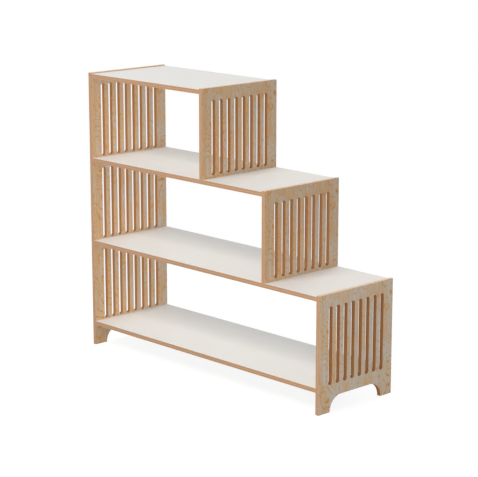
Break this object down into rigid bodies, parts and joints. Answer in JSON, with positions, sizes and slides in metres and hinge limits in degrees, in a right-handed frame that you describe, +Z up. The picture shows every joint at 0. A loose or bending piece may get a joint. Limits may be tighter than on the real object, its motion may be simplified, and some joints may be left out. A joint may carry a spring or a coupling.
{
  "type": "staircase bookshelf",
  "caption": "Open staircase bookshelf: white-faced shelves that shorten step by step towards the top, between slotted birch plywood side panels with arched feet.",
  "frame": {"origin": "on the floor, under the middle of the bookshelf's overall width and depth", "axes": "+Z up; +X to the right, from the tall side panel towards the low step; the front faces -Y"},
  "size_m": [1.306, 0.4, 1.144],
  "materials": {
    "birch_plywood": "clear matt lacquer over flame-figured birch",
    "white_laminate": "satin white",
    "beech": "raw",
    "zinc": "bright cast and plated"
  },
  "bodies": {
    "root": {"left_side_panel": "birch_plywood", "upper_right_panel": "birch_plywood", "middle_right_panel": "birch_plywood", "lower_right_panel": "birch_plywood", "top_shelf_core": "birch_plywood", "top_shelf_upper_facing": "white_laminate", "top_shelf_lower_facing": "white_laminate", "second_shelf_core": "birch_plywood", "second_shelf_upper_facing": "white_laminate", "second_shelf_lower_facing": "white_laminate", "third_shelf_core": "birch_plywood", "third_shelf_upper_facing": "white_laminate", "third_shelf_lower_facing": "white_laminate", "bottom_shelf_core": "birch_plywood", "bottom_shelf_upper_facing": "white_laminate", "bottom_shelf_lower_facing": "white_laminate", "top_shelf_left_front_cam_lock": "zinc", "top_shelf_left_front_cam_bolt": "zinc", "top_shelf_left_rear_cam_lock": "zinc", "top_shelf_left_rear_cam_bolt": "zinc", "top_shelf_left_dowel": "beech", "top_shelf_right_front_cam_lock": "zinc", "top_shelf_right_front_cam_bolt": "zinc", "top_shelf_right_rear_cam_lock": "zinc", "top_shelf_right_rear_cam_bolt": "zinc", "top_shelf_right_dowel": "beech", "second_shelf_left_front_cam_lock": "zinc", "second_shelf_left_front_cam_bolt": "zinc", "second_shelf_left_rear_cam_lock": "zinc", "second_shelf_left_rear_cam_bolt": "zinc", "second_shelf_left_dowel": "beech", "second_shelf_right_front_cam_lock": "zinc", "second_shelf_right_front_cam_bolt": "zinc", "second_shelf_right_rear_cam_lock": "zinc", "second_shelf_right_rear_cam_bolt": "zinc", "second_shelf_right_dowel": "beech", "third_shelf_left_front_cam_lock": "zinc", "third_shelf_left_front_cam_bolt": "zinc", "third_shelf_left_rear_cam_lock": "zinc", "third_shelf_left_rear_cam_bolt": "zinc", "third_shelf_left_dowel": "beech", "third_shelf_right_front_cam_lock": "zinc", "third_shelf_right_front_cam_bolt": "zinc", "third_shelf_right_rear_cam_lock": "zinc", "third_shelf_right_rear_cam_bolt": "zinc", "third_shelf_right_dowel": "beech", "bottom_shelf_left_front_cam_lock": "zinc", "bottom_shelf_left_front_cam_bolt": "zinc", "bottom_shelf_left_rear_cam_lock": "zinc", "bottom_shelf_left_rear_cam_bolt": "zinc", "bottom_shelf_left_dowel": "beech", "bottom_shelf_right_front_cam_lock": "zinc", "bottom_shelf_right_front_cam_bolt": "zinc", "bottom_shelf_right_rear_cam_lock": "zinc", "bottom_shelf_right_rear_cam_bolt": "zinc", "bottom_shelf_right_dowel": "beech", "upper_right_panel_front_screw": "zinc", "upper_right_panel_rear_screw": "zinc", "middle_right_panel_front_screw": "zinc", "middle_right_panel_rear_screw": "zinc"}
  },
  "joints": []
}
